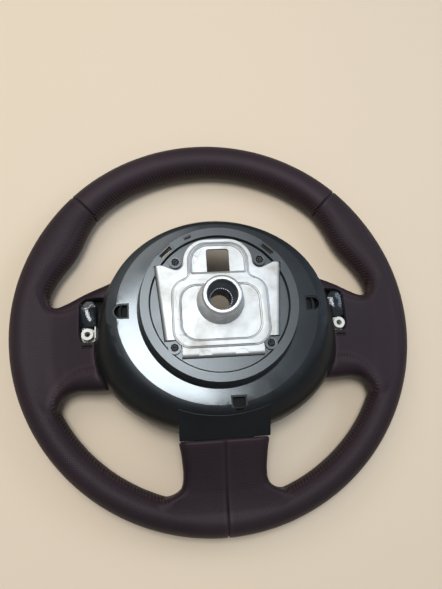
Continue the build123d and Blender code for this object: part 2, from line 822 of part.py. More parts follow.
disc_base = disc_radius + disc_draft
inner_top_z = cover_face_z - cover_wall
side_slot_angle = 46.0
small_slot_angle = 113.0
slot_length = 12.0
slot_width = 3.6
slot_reach = disc_radius - disc_band / 2
corner_gap = 4.5
corner_inner = 5.0
corner_outer = 2.0
corner_depth = 2.0
arm_room = 2.0
with BuildPart() as rear_cover:
    loft(skirt_sections(0.0, skirt_top_z))
    loft(
        [
            cover_outline(skirt_top_z, 0, face_half_width, face_up, face_low),
            cover_outline(
                cover_face_z,
                0,
                face_half_width - bevel_side,
                face_up - bevel_up,
                face_low - bevel_low,
            ),
        ]
    )
    add(lower_hood(0.0))
    with BuildSketch(Plane.XZ):
        with BuildLine():
            Polyline(
                (0, inner_top_z),
                (disc_base, inner_top_z),
                (disc_base, cover_face_z),
                (disc_radius, disc_top_z),
                (disc_radius - disc_band, disc_top_z),
                (disc_radius - disc_band - dish_depth / 2, floor_z),
                (0, floor_z),
                close=True,
            )
        make_face()
    revolve(axis=Axis.Z)
    inner_skirt = skirt_sections(cover_wall, inner_top_z)
    loft(inner_skirt, mode=Mode.SUBTRACT)
    extrude(inner_skirt[0], amount=-far / 4, mode=Mode.SUBTRACT)
    add(lower_hood(cover_wall), mode=Mode.SUBTRACT)
    with BuildSketch(Plane.XZ):
        with BuildLine():
            Polyline(
                (0, inner_top_z - cover_wall),
                (disc_base - cover_wall, inner_top_z - cover_wall),
                (disc_base - cover_wall, cover_face_z),
                (disc_radius - cover_wall, disc_top_z - cover_wall),
                (disc_radius - disc_band + cover_wall / 2, disc_top_z - cover_wall),
                (disc_radius - disc_band - dish_depth / 2, floor_z - cover_wall),
                (0, floor_z - cover_wall),
                close=True,
            )
        make_face()
    revolve(axis=Axis.Z, mode=Mode.SUBTRACT)
    with BuildSketch(Plane.XY.offset(disc_top_z)):
        offset(plate_outline, amount=plate_gap)
    extrude(amount=-dish_depth - 2 * cover_wall, mode=Mode.SUBTRACT)
    with Locations(*[(x, y, floor_z - cover_wall) for x, y in screw_places]):
        Cylinder(
            screw_boss_radius,
            cover_wall + screw_boss_height,
            align=(Align.CENTER, Align.CENTER, Align.MIN),
        )
    with Locations(*[(x, y, floor_z + screw_boss_height) for x, y in screw_places]):
        CounterBoreHole(screw_shank_radius + 2 * fit_gap, screw_hole_radius, screw_boss_height, far / 10)
    extrude(access_holes(0.0), amount=-2 * cover_wall, mode=Mode.SUBTRACT)
    extrude(access_holes(frame_width), amount=-frame_depth, mode=Mode.SUBTRACT)
    extrude(disc_slots(0.0), amount=-2 * cover_wall, mode=Mode.SUBTRACT)
    extrude(disc_slots(frame_width), amount=-frame_depth, mode=Mode.SUBTRACT)
    with BuildSketch(Plane.XY.offset(floor_z)):
        for side in (1, -1):
            with BuildLine():
                Polyline(
                    (side * (side_top_x - corner_inner), side_top_y),
                    (side * side_top_x, side_top_y + corner_gap),
                    (side * (side_top_x + corner_outer), side_top_y),
                    close=True,
                )
            make_face()
    extrude(amount=-corner_depth, mode=Mode.SUBTRACT)
    for side in (1, -1):
        with Locations((side * skirt_reach, (arm_spoke_high - arm_spoke_low) / 2, hood_front_z)):
            Box(
                2 * (skirt_reach - arm_drop_x + arm_room),
                arm_spoke_high + arm_spoke_low + 2 * arm_room,
                2 * (side_rear_z - leather_proud - cover_wall - hood_front_z),
                mode=Mode.SUBTRACT,
            )
    with Locations((0, -hood_reach_y, hood_front_z)):
        Box(
            2 * lower_arm_x + lower_arm_width + 2 * arm_room,
            4 * cover_wall,
            2 * (lower_rear_z - leather_proud - 2 * cover_wall - hood_front_z),
            mode=Mode.SUBTRACT,
        )
rear_cover.part.label = "rear_cover"
export_step(rear_cover.part, "parts/rear_cover.step")


# Cover screws
screw_seat_z = floor_z
screw_head_height = 2.4
screw_length = 9.0
drive_radius = 1.3
drive_depth = 1.2
with BuildPart() as cover_screws:
    with Locations(*[(x, y, screw_seat_z) for x, y in screw_places]):
        Cylinder(screw_head_radius, screw_head_height, align=(Align.CENTER, Align.CENTER, Align.MIN))
        Cylinder(screw_shank_radius, screw_length, align=(Align.CENTER, Align.CENTER, Align.MAX))
    with BuildSketch(Plane.XY.offset(screw_seat_z + screw_head_height)):
        with Locations(*screw_places):
            RegularPolygon(drive_radius, 6)
    extrude(amount=-drive_depth, mode=Mode.SUBTRACT)
cover_screws.part.label = "cover_screws"
export_step(cover_screws.part, "parts/cover_screws.step")


# Switch carriers: trays that line the pockets, open to the front
carrier_front_z = side_front_z
carrier_hole_clearance = 0.5
bush_flange_radius = bush_radius + 1.6
bush_flange_height = 1.4
insert_gap = 0.4
insert_low = 20.0
insert_length = 24.4
with BuildPart() as right_switch_carrier:
    extrude(
        block_outline(
            carrier_front_z,
            pocket_left + fit_gap,
            pocket_right,
            pocket_low,
            pocket_high,
            pocket_corner,
        ),
        amount=carrier_floor_z - carrier_front_z,
    )
    extrude(
        block_outline(
            carrier_front_z,
            pocket_left + fit_gap + carrier_wall,
            pocket_right - carrier_wall,
            pocket_low + carrier_wall,
            pocket_high - carrier_wall,
            pocket_corner - carrier_wall,
        ),
        amount=carrier_floor_z - carrier_wall - carrier_front_z,
        mode=Mode.SUBTRACT,
    )
    with BuildSketch(Plane.XY.offset(carrier_floor_z)):
        with Locations((bush_x, (recess_top_y - bush_y) / 2)):
            SlotCenterToCenter(recess_top_y + bush_y, 2 * (recess_half_width - insert_gap), rotation=90)
        with Locations(((pocket_left + insert_gap + bush_x) / 2, recess_top_y - insert_low / 2)):
            Rectangle(bush_x - pocket_left - insert_gap, insert_low)
        with Locations((bush_x, recess_top_y + recess_half_width - insert_length / 2)):
            Rectangle(far, insert_length, mode=Mode.INTERSECT)
    extrude(amount=carrier_insert_z - carrier_floor_z)
    with Locations((bush_x, -bush_y, carrier_floor_z)):
        Hole(bush_hole_radius + carrier_hole_clearance, far / 10)
right_switch_carrier.part.label = "right_switch_carrier"
export_step(right_switch_carrier.part, "parts/right_switch_carrier.step")

with BuildPart() as left_switch_carrier:
    mirror(right_switch_carrier.part, about=Plane.YZ)
left_switch_carrier.part.label = "left_switch_carrier"
export_step(left_switch_carrier.part, "parts/left_switch_carrier.step")


# Switch bushes: a flanged tube with a straight lug on its hub side
lug_thickness = 1.2
lug_length = 10.4
lug_back = 6.7
lug_rise = 1.6
lug_drop = 0.6
with BuildPart() as right_switch_bush:
    with Locations((bush_x, -bush_y, carrier_floor_z)):
        Cylinder(bush_flange_radius, bush_flange_height, align=(Align.CENTER, Align.CENTER, Align.MIN))
        Cylinder(
            bush_radius, bush_top_z - carrier_floor_z, align=(Align.CENTER, Align.CENTER, Align.MIN)
        )
    with Locations((bush_x - lug_back, -bush_y + lug_rise, carrier_floor_z)):
        Box(
            lug_thickness,
            lug_length,
            bush_top_z - carrier_floor_z - lug_drop,
            align=(Align.CENTER, Align.CENTER, Align.MIN),
        )
    with Locations((bush_x, -bush_y, bush_top_z)):
        Hole(bush_hole_radius, far / 10)
right_switch_bush.part.label = "right_switch_bush"
export_step(right_switch_bush.part, "parts/right_switch_bush.step")

with BuildPart() as left_switch_bush:
    mirror(right_switch_bush.part, about=Plane.YZ)
left_switch_bush.part.label = "left_switch_bush"
export_step(left_switch_bush.part, "parts/left_switch_bush.step")


# Airbag springs: bowed wires whose ends hook through the arms
spring_bend = 1.5 * spring_wire_radius
spring_z = foot_z + spring_bend + fit_gap
spring_tail = arm_thickness + 3 * spring_wire_radius


def spring_wire(plane, start, end, bow_at):
    """Wire along the plane's X axis, bowed sideways at one place, ends turned down."""
    with BuildPart() as wire:
        with BuildLine(plane) as path:
            FilletPolyline(
                (start, 0, -spring_tail),
                (start, 0, 0),
                (bow_at - 3 * spring_bow, 0, 0),
                (bow_at - spring_bow, spring_bow, 0),
                (bow_at + spring_bow, spring_bow, 0),
                (bow_at + 3 * spring_bow, 0, 0),
                (end, 0, 0),
                (end, 0, -spring_tail),
                radius=spring_bend,
            )
        with BuildSketch(Plane(origin=path.line @ 0, z_dir=path.line % 0)):
            Circle(spring_wire_radius)
        sweep()
    return wire.part


side_spring_plane = Plane(origin=(spring_x, 0, spring_z), x_dir=(0, -1, 0), z_dir=(0, 0, 1))
side_spring = spring_wire(side_spring_plane, -spring_half_span, spring_half_span, 0)
lower_spring_plane = Plane(origin=(0, -lower_access_y, spring_z), x_dir=(-1, 0, 0), z_dir=(0, 0, 1))
with BuildPart() as right_airbag_spring:
    add(side_spring)
right_airbag_spring.part.label = "right_airbag_spring"
export_step(right_airbag_spring.part, "parts/right_airbag_spring.step")

with BuildPart() as left_airbag_spring:
    mirror(side_spring, about=Plane.YZ)
left_airbag_spring.part.label = "left_airbag_spring"
export_step(left_airbag_spring.part, "parts/left_airbag_spring.step")

lower_spring = spring_wire(
    lower_spring_plane, -lower_spring_x[1], -lower_spring_x[0], -lower_access_x
)
with BuildPart() as lower_airbag_spring:
    add(lower_spring)
lower_airbag_spring.part.label = "lower_airbag_spring"
export_step(lower_airbag_spring.part, "parts/lower_airbag_spring.step")
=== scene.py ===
"""Looks of a leather car steering wheel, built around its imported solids.

Shapes are worked out in millimetres, in the wheel's own frame, and become metres when a mesh is made.
"""

import math

import bpy
import numpy as np
import openvdb
from mathutils import Matrix, Vector
from mathutils.geometry import tessellate_polygon


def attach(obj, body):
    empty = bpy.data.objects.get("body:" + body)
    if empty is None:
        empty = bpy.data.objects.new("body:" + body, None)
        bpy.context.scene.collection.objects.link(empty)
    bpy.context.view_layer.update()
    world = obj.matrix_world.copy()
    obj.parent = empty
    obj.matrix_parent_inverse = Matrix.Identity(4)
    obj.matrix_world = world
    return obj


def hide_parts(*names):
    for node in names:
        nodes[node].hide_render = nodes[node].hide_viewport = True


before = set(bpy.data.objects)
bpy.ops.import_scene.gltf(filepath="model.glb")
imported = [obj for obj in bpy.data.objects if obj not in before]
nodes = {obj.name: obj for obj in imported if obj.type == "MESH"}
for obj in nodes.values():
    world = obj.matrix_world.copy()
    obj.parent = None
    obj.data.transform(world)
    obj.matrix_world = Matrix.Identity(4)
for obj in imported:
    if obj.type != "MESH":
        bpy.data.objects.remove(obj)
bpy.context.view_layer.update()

MM = 0.001
BLACK = (0.0, 0.0, 0.0)
WHITE = (1.0, 1.0, 1.0)

# Factors that turn right-hand points into left-hand ones
mirror = np.array([-1.0, 1.0, 1.0])

# Rim, as in the solids, with angles in degrees from three o'clock
rim_radius = 187.5
rim_half_thickness = 16.0
top_half_width = 16.0
lower_half_width = 13.9
taper_start = -45.0
taper_span = 90.0
grip_bulge = 4.8
grip_angle = 29.0
grip_spread = 12.0

# Spokes at their hub ends, as in the solids
side_upper = 32.5
side_lower = 60.0
side_rear = 39.5
side_front = 13.0
side_edge_radius = 11.5
side_start = 107.5
lower_half_span = 38.6
lower_rear = 51.0
lower_front = 19.0
lower_edge_radius = 9.0
lower_start = 107.9
leather_thickness = 1.3

# Side spoke: share of the way to the rim, lower and upper edge, front and rear face, from the hub end's
side_stations = [
    (-0.47, 0.0, 10.0, 0.0, 0.0),
    (-0.31, 0.0, 6.6, 0.0, 0.0),
    (-0.15, 0.0, 3.1, 0.0, 0.0),
    (0.0, 0.0, 0.0, 0.0, 0.0),
    (0.16, -0.7, -2.7, -1.0, -2.0),
    (0.34, -1.0, -6.5, -2.5, -4.0),
    (0.47, 0.2, -9.5, -4.0, -5.5),
    (0.58, 3.5, -11.7, -5.0, -6.5),
    (0.66, 9.5, -13.2, -5.8, -7.3),
    (0.73, 17.0, -13.9, -6.4, -7.9),
    (0.85, 20.0, -13.5, -7.4, -8.7),
    (0.93, 18.0, -10.0, -8.0, -9.5),
    (1.01, 14.0, -3.0, -8.4, -10.3),
    (1.10, 6.0, 3.0, -8.5, -11.0),
    (1.19, -2.0, 7.0, -8.5, -11.5),
]

# Lower spoke: share of the way to the rim, half-span, front and rear face, from the hub end's
lower_stations = [
    (-0.34, 0.0, 0.0, 0.0),
    (-0.17, 0.0, 0.0, 0.0),
    (0.0, 0.0, 0.0, 0.0),
    (0.125, -1.3, -2.5, -3.2),
    (0.28, -2.3, -5.5, -7.0),
    (0.47, -3.0, -9.0, -11.5),
    (0.62, -2.7, -11.0, -14.7),
    (0.73, -1.0, -12.2, -16.6),
    (0.80, 2.9, -13.0, -17.8),
    (0.86, 9.4, -13.5, -18.7),
    (0.93, 15.4, -13.8, -20.0),
    (1.02, 17.4, -14.0, -21.5),
    (1.12, 11.4, -14.0, -22.5),
]

# Rounded corners where spokes meet the rim: wider on the wheel's inner side, and wider still to the rear
spoke_end_roll = 8.0
spoke_blend = 4.0
outer_root_blend = 2.0
inner_root_blend = 7.0
rear_root_blend = 7.0
inner_side_reach = 152.0
inner_side_fade = 26.0
rear_side_height = 21.0
rear_side_fade = 8.0

# Cover outline that the leather ends at
cover_centre = -25.0
cover_half_width = 107.0
cover_up = 113.5
cover_low = 79.5
hood_half_span = 37.8
hood_reach = 107.4
hood_corner = 1.0
butt_gap = 0.4

# Switch recess in a side spoke, the slit beside it and the pocket on its front
bush_x = 114.6
bush_y = -10.8
recess_half_width = 7.4
recess_top = 14.0
recess_floor = 25.0
recess_hub_end = 99.5
recess_corner = 2.0
slit_y = -22.3
slit_half_length = 4.5
slit_half_width = 0.8
slit_depth = 7.0
slit_corner = 0.5
pocket_box = (107.5, 136.6, -35.8, 9.0)
pocket_top = 27.0
pocket_corner = 5.0
switch_roll = 1.0

# Seams between the wraps
seam_angle = 44.5
seam_half_gap = 0.3
seam_roll = 1.7
fold_roll = 3.2

# Inner seams in plan: rim angles that they follow, and their turns round the side spoke's roots
inner_seam_angle = 34.0
upper_seam_angles = range(90, 11, -3)
lower_seam_angles = range(-30, -73, -3)
upper_seam_turn = [(150.5, 19.5), (146.0, 13.5), (139.0, 11.5), (131.0, 13.0), (121.0, 17.0)]
lower_seam_turn = [
    (109.5, -42.0), (116.0, -42.0), (124.0, -43.6), (132.0, -47.6), (138.5, -53.6), (143.0, -61.5),
    (145.5, -70.0),
]
seam_step = 1.5
groove_depth = 0.6
groove_half_width = 1.1

# Stitches across the inner seams, with lift and dip in thread radii and slant in pitches
stitch_pitch = 3.0
stitch_half_length = 1.7
stitch_radius = 0.42
stitch_slant = 0.32
stitch_lift = 0.5
stitch_dip = 1.6
stitch_rings = 7
stitch_sides = 6

# Pin holes in the leather, and how far they stay from inner seams, wrap ends and the cover
hole_pitch = 2.6
hole_fade = 2.0
inner_seam_margin = 4.0
wrap_end_margin = 3.0
cover_margin = 4.0

# Bead pressed into the hub plate: right-hand corners of its outlines, with their radii
plate_top = 89.0
bead_height = 0.9
bead_slope = 1.8
bead_sunk = 0.3
bead_corners = [(25.6, 51.6, 17.0), (25.6, 20.5, 4.0), (39.8, 20.5, 14.0), (39.8, -37.9, 15.0)]
panel_corners = [
    [(33.3, 15.0, 14.0), (33.3, -32.4, 14.0)],
    [(23.4, 49.6, 15.5), (23.4, 23.5, 2.5)],
]
corner_points = 13

# Bore of the hub boss, where painted shade goes, heights at which the cover's finish changes, and the
# height below which the plate gets painted shade
bore_reach = 12.8
glossy_above = 69.9
painted_shade_below = 80.0
disc_above = 80.0

# Rounds on the sharp edges of solids
edge_round = 0.3
bead_round = 0.25
sharp_angle = 35.0
weld_distance = 0.02
rounded_solids = ("rear_cover", "hub_plate", "hub_boss", "left_switch_bush", "right_switch_bush")

# Mesh fineness, and how finely curves are sampled and smoothed
voxel = 0.9
curve_samples = 600
curve_smoothing = 41
line_smoothing = 5

# Steps and limits of the work on fields
slope_reach = 0.25
least_slope = 0.2
settling_steps = 3
halvings = 30
far_away = 1e3

# Low and high corners of the boxes that hold the right-hand wrap and the top one
grip_top = 54.0
right_box = ((-1.0, -190.0, -2.0), (190.0, 140.0, grip_top))
top_box = ((-140.0, 95.0, -2.0), (140.0, 190.0, 34.0))


# Fields of the grip
def smooth_steps(t):
    """Smooth rise from 0 to 1 while t goes from 0 to 1."""
    t = np.clip(t, 0.0, 1.0)
    return t * t * (3.0 - 2.0 * t)


def half_width(angle):
    """Radial half-width of the rim at an angle from three o'clock, in degrees."""
    rise = smooth_steps((angle - taper_start) / taper_span)
    bulge = grip_bulge * np.exp(-(((angle - grip_angle) / grip_spread) ** 2))
    return lower_half_width + (top_half_width - lower_half_width) * rise + bulge


def blend_min(a, b, width):
    """Smaller of two fields, with a rounded corner where they cross."""
    share = np.clip(0.5 + 0.5 * (b - a) / width, 0.0, 1.0)
    return b + (a - b) * share - width * share * (1.0 - share)


def blend_max(a, b, width):
    """Larger of two fields, with a rounded corner where they cross."""
    return -blend_min(-a, -b, width)


def rounded_box(u, v, box, radius):
    """Distance to a rectangle (low u, high u, low v, high v) with rounded corners."""
    low_u, high_u, low_v, high_v = box
    du = np.abs(u - (low_u + high_u) / 2) - (high_u - low_u) / 2 + radius
    dv = np.abs(v - (low_v + high_v) / 2) - (high_v - low_v) / 2 + radius
    outside = np.hypot(np.maximum(du, 0.0), np.maximum(dv, 0.0))
    return outside + np.minimum(np.maximum(du, dv), 0.0) - radius


def ellipse_distance(u, v, a, b):
    """Near enough the distance to an ellipse with half-axes a and b."""
    first = np.hypot(u / a, v / b)
    second = np.hypot(u / a**2, v / b**2)
    return first * (first - 1.0) / np.maximum(second, 1e-6)


def station_curve(places, values):
    """Smooth curve through station values, as a function of the place."""
    fine = np.linspace(places[0], places[-1], curve_samples)
    curve = np.interp(fine, places, values)
    kernel = np.hanning(curve_smoothing)
    kernel /= kernel.sum()
    padded = np.pad(curve, curve_smoothing // 2, mode="edge")
    smooth = np.convolve(padded, kernel, mode="valid")
    return lambda place: np.interp(place, fine, smooth)


def spoke_curves(stations, start, root):
    """One smooth curve per station column, over the spoke's own length, and the stations' places."""
    places = [start + share * (root - start) for share, *_ in stations]
    columns = list(zip(*stations))[1:]
    return [station_curve(places, column) for column in columns], places


side_root = rim_radius - 2 * half_width(0.0)
lower_root = rim_radius - 2 * half_width(-90.0)
side_curves, side_places = spoke_curves(side_stations, side_start, side_root)
lower_curves, lower_places = spoke_curves(lower_stations, lower_start, lower_root)


def rim_field(x, y, z):
    """Distance to the rim's surface, negative inside."""
    width = half_width(np.degrees(np.arctan2(y, np.abs(x))))
    across = np.hypot(x, y) - (rim_radius - width)
    return ellipse_distance(across, z - rim_half_thickness, width, rim_half_thickness)


def spoke_field(section, reach, places):
    """Distance to a spoke from that to its section, with a flat hub end and a rounded rim end."""
    return blend_max(np.maximum(section, places[0] - reach), reach - places[-1], spoke_end_roll)


def side_field(x, y, z):
    """Distance to the side spokes' surface."""
    reach = np.abs(x)
    low, high, front, rear = [curve(reach) for curve in side_curves]
    box = (-(side_lower + low), side_upper + high, side_front + front, side_rear + rear)
    return spoke_field(rounded_box(y, z, box, side_edge_radius), reach, side_places)


def lower_field(x, y, z):
    """Distance to the lower spoke's surface."""
    reach = -y
    span, front, rear = [curve(reach) for curve in lower_curves]
    half = lower_half_span + span
    box = (-half, half, lower_front + front, lower_rear + rear)
    return spoke_field(rounded_box(x, z, box, lower_edge_radius), reach, lower_places)


def grip_field(x, y, z):
    """Distance to the whole grip: rim and spokes with rounded inner corners."""
    spokes = blend_min(side_field(x, y, z), lower_field(x, y, z), spoke_blend)
    inner_side = 1.0 - smooth_steps((np.hypot(x, y) - inner_side_reach) / inner_side_fade)
    rear_side = smooth_steps((z - rear_side_height) / rear_side_fade)
    root_blend = outer_root_blend + inner_side * (inner_root_blend + rear_root_blend * rear_side)
    return blend_min(rim_field(x, y, z), spokes, root_blend)


def cover_distance(x, y):
    """Distance in plan to the cover's outline, negative inside it."""
    high = y - cover_centre
    oval = ellipse_distance(x, high, cover_half_width, np.where(high > 0, cover_up, cover_low))
    hood = rounded_box(x, y, (-hood_half_span, hood_half_span, -hood_reach, 0.0), hood_corner)
    return np.minimum(oval, hood)


def switch_cut(x, y, z):
    """Distance to the space of the switch recess, its slit and the front pocket."""
    u = np.abs(x)
    slot = np.hypot(u - bush_x, y - np.clip(y, bush_y, recess_top)) - recess_half_width
    strip_box = (recess_hub_end, bush_x, bush_y - recess_half_width, recess_top + recess_half_width)
    strip = rounded_box(u, y, strip_box, recess_corner)
    recess = np.maximum(np.minimum(slot, strip), recess_floor - z)
    slit_ends = (bush_x - slit_half_length, bush_x + slit_half_length)
    slit_sides = (slit_y - slit_half_width, slit_y + slit_half_width)
    slit = rounded_box(u, y, slit_ends + slit_sides, slit_corner)
    slit = np.maximum(slit, side_rear - slit_depth - z)
    pocket = np.maximum(rounded_box(u, y, pocket_box, pocket_corner), z - pocket_top)
    return np.minimum(np.minimum(recess, slit), pocket)


def sector_distance(x, y, angle):
    """Distance past a seam plane through the axis, positive towards twelve o'clock."""
    turn = math.radians(angle)
    return -math.sin(turn) * np.abs(x) + math.cos(turn) * y


def right_leather(x, y, z):
    """Field of the right-hand leather wrap."""
    field = grip_field(x, y, z)
    field = blend_max(field, sector_distance(x, y, seam_angle) + seam_half_gap, seam_roll)
    field = blend_max(field, butt_gap - cover_distance(x, y), fold_roll)
    field = blend_max(field, seam_half_gap - x, seam_roll)
    return blend_max(field, -switch_cut(x, y, z), switch_roll)


def top_leather(x, y, z):
    """Field of the leather wrap of the top arch."""
    field = grip_field(x, y, z)
    return blend_max(field, seam_half_gap - sector_distance(x, y, seam_angle), seam_roll)


# Inner seams
def seam_on_rim(angle):
    """Plan point of the right-hand inner seam on the rim, at an angle in degrees."""
    width = float(half_width(angle))
    lean = math.cos(math.radians(inner_seam_angle))
    reach = rim_radius - width - lean * width
    turn = math.radians(angle)
    return reach * math.cos(turn), reach * math.sin(turn)


def even_points(points, pitch):
    """Points at even steps along a smooth line through the given points."""
    steps = np.concatenate([[0.0], np.cumsum(np.linalg.norm(np.diff(points, axis=0), axis=1))])
    count = max(int(steps[-1] / pitch), 2)
    at = np.linspace(0.0, steps[-1], count)
    line = np.stack([np.interp(at, steps, points[:, i]) for i in range(points.shape[1])], axis=1)
    kernel = np.ones(line_smoothing) / line_smoothing
    for axis in range(line.shape[1]):
        padded = np.pad(line[:, axis], line_smoothing // 2, mode="reflect", reflect_type="odd")
        line[:, axis] = np.convolve(padded, kernel, mode="valid")
    return line


upper_seam = [seam_on_rim(angle) for angle in upper_seam_angles] + upper_seam_turn
lower_seam = lower_seam_turn + [seam_on_rim(angle) for angle in lower_seam_angles]
seam_lines = {
    "upper": even_points(np.array(upper_seam), seam_step),
    "lower": even_points(np.array(lower_seam), seam_step),
}


def path_distance(x, y):
    """Distance in plan to the nearest inner seam, in millimetres."""
    u = np.abs(x)
    nearest = np.full(u.shape, far_away)
    for line in seam_lines.values():
        for px, py in line:
            nearest = np.minimum(nearest, (u - px) ** 2 + (y - py) ** 2)
    return np.sqrt(nearest)


def groove(x, y, z):
    """Depth of the sewn groove at a point, on the rear half of the grip only."""
    near = path_distance(x, y)
    return groove_depth * np.exp(-((near / groove_half_width) ** 2)) * (z > rim_half_thickness)


# Meshes from fields
def field_slopes(field, points):
    """Slopes of a field at points, along the three axes."""
    slopes = []
    for axis in range(3):
        shift = np.zeros(3)
        shift[axis] = slope_reach
        rise = field(*(points + shift).T) - field(*(points - shift).T)
        slopes.append(rise / (2 * slope_reach))
    return np.stack(slopes, axis=1)


def field_normals(field, points):
    """Unit normals of a field at points."""
    slopes = field_slopes(field, points)
    return slopes / np.maximum(np.linalg.norm(slopes, axis=1, keepdims=True), 1e-9)


def surface_step(field, points):
    """Step from the zero surface to points, along the field's slope."""
    slopes = field_slopes(field, points)
    size = np.maximum((slopes**2).sum(axis=1), least_slope)
    move = np.clip(field(*points.T) / size, -voxel, voxel)
    return slopes * move[:, None]


def field_mesh(field, low, high):
    """Vertices and quads of a field's zero surface inside a box, with the sewn groove pressed in."""
    axes = [np.arange(a, b + voxel, voxel) for a, b in zip(low, high)]
    values = np.empty([len(axis) for axis in axes], np.float32)
    xs, ys = np.meshgrid(axes[0], axes[1], indexing="ij")
    for index, z in enumerate(axes[2]):
        values[:, :, index] = field(xs, ys, np.full(xs.shape, z))
    grid = openvdb.FloatGrid(far_away)
    grid.copyFromArray(values)
    points, quads = grid.convertToQuads(0.0)
    points = np.asarray(points, float) * voxel + np.array(low)
    for _ in range(settling_steps):
        points = points - surface_step(field, points)
    points = points - field_normals(field, points) * groove(*points.T)[:, None]
    return points, np.asarray(quads)


def open_ends(points, quads):
    """Quads without the hub-end caps deeper than the leather is thick."""
    centres = points[quads].mean(axis=1)
    depth = grip_field(*centres.T)
    return quads[depth > -leather_thickness]


def used_only(points, faces):
    """Points and faces with the unused points taken out."""
    keep, inverse = np.unique(faces.ravel(), return_inverse=True)
    return points[keep], inverse.reshape(faces.shape)


def wrap_mesh(field, box):
    """Points and quads of a leather wrap, open where its ends are out of sight."""
    points, quads = field_mesh(field, *box)
    return used_only(points, open_ends(points, quads))


def smooth_faces(piece):
    """Shade all faces of a piece smoothly."""
    piece.data.polygons.foreach_set("use_smooth", [True] * len(piece.data.polygons))


def new_object(name, points, faces, material):
    """Mesh object from millimetre points, riding on the wheel."""
    mesh = bpy.data.meshes.new(name)
    mesh.from_pydata((np.asarray(points) * MM).tolist(), [], [tuple(map(int, f)) for f in faces])
    mesh.validate()
    piece = bpy.data.objects.new(name, mesh)
    bpy.context.scene.collection.objects.link(piece)
    smooth_faces(piece)
    mesh.materials.append(material)
    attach(piece, "root")
    return piece


# Material helpers
def new_material(name):
    """Material with its node tree and main shader."""
    material = bpy.data.materials.new(name)
    material.use_nodes = True
    return material, material.node_tree, material.node_tree.nodes["Principled BSDF"]


def grey(level):
    """Grey of a level, as a colour."""
    return (level, level, level)


def set_inputs(node, **inputs):
    """Set a node's inputs by socket name, with underscores for its spaces."""
    for key, value in inputs.items():
        node.inputs[key.replace("_", " ")].default_value = value


def add_node(tree, kind, **inputs):
    """Node of a kind, with input values set by socket name."""
    node = tree.nodes.new(kind)
    set_inputs(node, **inputs)
    return node


def object_place(tree):
    """Socket with a surface point's place in the wheel's frame, in metres."""
    return tree.nodes.new("ShaderNodeTexCoord").outputs["Object"]


def split_axes(tree, vector):
    """Sockets X, Y and Z of a vector."""
    node = tree.nodes.new("ShaderNodeSeparateXYZ")
    tree.links.new(vector, node.inputs[0])
    return node.outputs


def noise(tree, vector, scale, detail=4.0, roughness=0.55, output="Fac"):
    """Noise over a vector, as a number or as a colour."""
    node = add_node(tree, "ShaderNodeTexNoise", Scale=scale, Detail=detail, Roughness=roughness)
    tree.links.new(vector, node.inputs["Vector"])
    return node.outputs[output]


def ramp(tree, source, stops):
    """Colour ramp from (position, colour) stops."""
    node = tree.nodes.new("ShaderNodeValToRGB")
    elements = node.color_ramp.elements
    while len(elements) < len(stops):
        elements.new(0.5)
    for element, (position, colour) in zip(elements, stops):
        element.position = position
        element.color = (*colour, 1.0)
    tree.links.new(source, node.inputs["Fac"])
    return node.outputs["Color"]


def bump(tree, shader, height, strength, distance, below=None):
    """Bump from a height, on top of another bump where there is one."""
    node = add_node(tree, "ShaderNodeBump", Strength=strength, Distance=distance)
    tree.links.new(height, node.inputs["Height"])
    if below is not None:
        tree.links.new(below.outputs["Normal"], node.inputs["Normal"])
    tree.links.new(node.outputs["Normal"], shader.inputs["Normal"])
    return node


def math_node(tree, operation, a, b=None):
    """Math node; a and b are sockets or numbers."""
    node = tree.nodes.new("ShaderNodeMath")
    node.operation = operation
    for socket, value in zip(node.inputs, (a, b)):
        if value is None:
            continue
        if isinstance(value, (int, float)):
            socket.default_value = value
        else:
            tree.links.new(value, socket)
    return node.outputs[0]


def vector_node(tree, operation, vector, factor=None):
    """Vector math node of a vector socket and a fixed factor."""
    node = tree.nodes.new("ShaderNodeVectorMath")
    node.operation = operation
    tree.links.new(vector, node.inputs[0])
    if factor is not None:
        node.inputs[1].default_value = factor
    return node


def mix_colour(tree, share, first, second):
    """Mix of two colours by a share; each is a socket or a colour."""
    # The node has sockets for every data type, so those for colours are found by their place
    first_place = 6
    second_place = 7
    result_place = 2
    node = tree.nodes.new("ShaderNodeMix")
    node.data_type = "RGBA"
    tree.links.new(share, node.inputs[0])
    for place, value in ((first_place, first), (second_place, second)):
        if isinstance(value, tuple):
            node.inputs[place].default_value = (*value, 1.0)
        else:
            tree.links.new(value, node.inputs[place])
    return node.outputs[result_place]


# Materials
def pin_holes(tree):
    """Share of a surface point that lies in a pin hole, in slanting rows over the wrap's UV layer."""
    uv = tree.nodes.new("ShaderNodeUVMap")
    uv.uv_map = "wrap"
    axes = split_axes(tree, uv.outputs["UV"])
    along = math_node(tree, "MULTIPLY", axes["X"], math.tau / hole_pitch)
    across = math_node(tree, "MULTIPLY", axes["Y"], math.tau / hole_pitch)
    rising = math_node(tree, "COSINE", math_node(tree, "ADD", along, across))
    falling = math_node(tree, "COSINE", math_node(tree, "SUBTRACT", along, across))
    dots = math_node(tree, "MULTIPLY", math_node(tree, "ADD", rising, falling), 0.5)
    holes = ramp(tree, dots, [(0.15, BLACK), (0.45, WHITE)])
    keep = tree.nodes.new("ShaderNodeAttribute")
    keep.attribute_name = "holes"
    return math_node(tree, "MULTIPLY", holes, keep.outputs["Fac"])


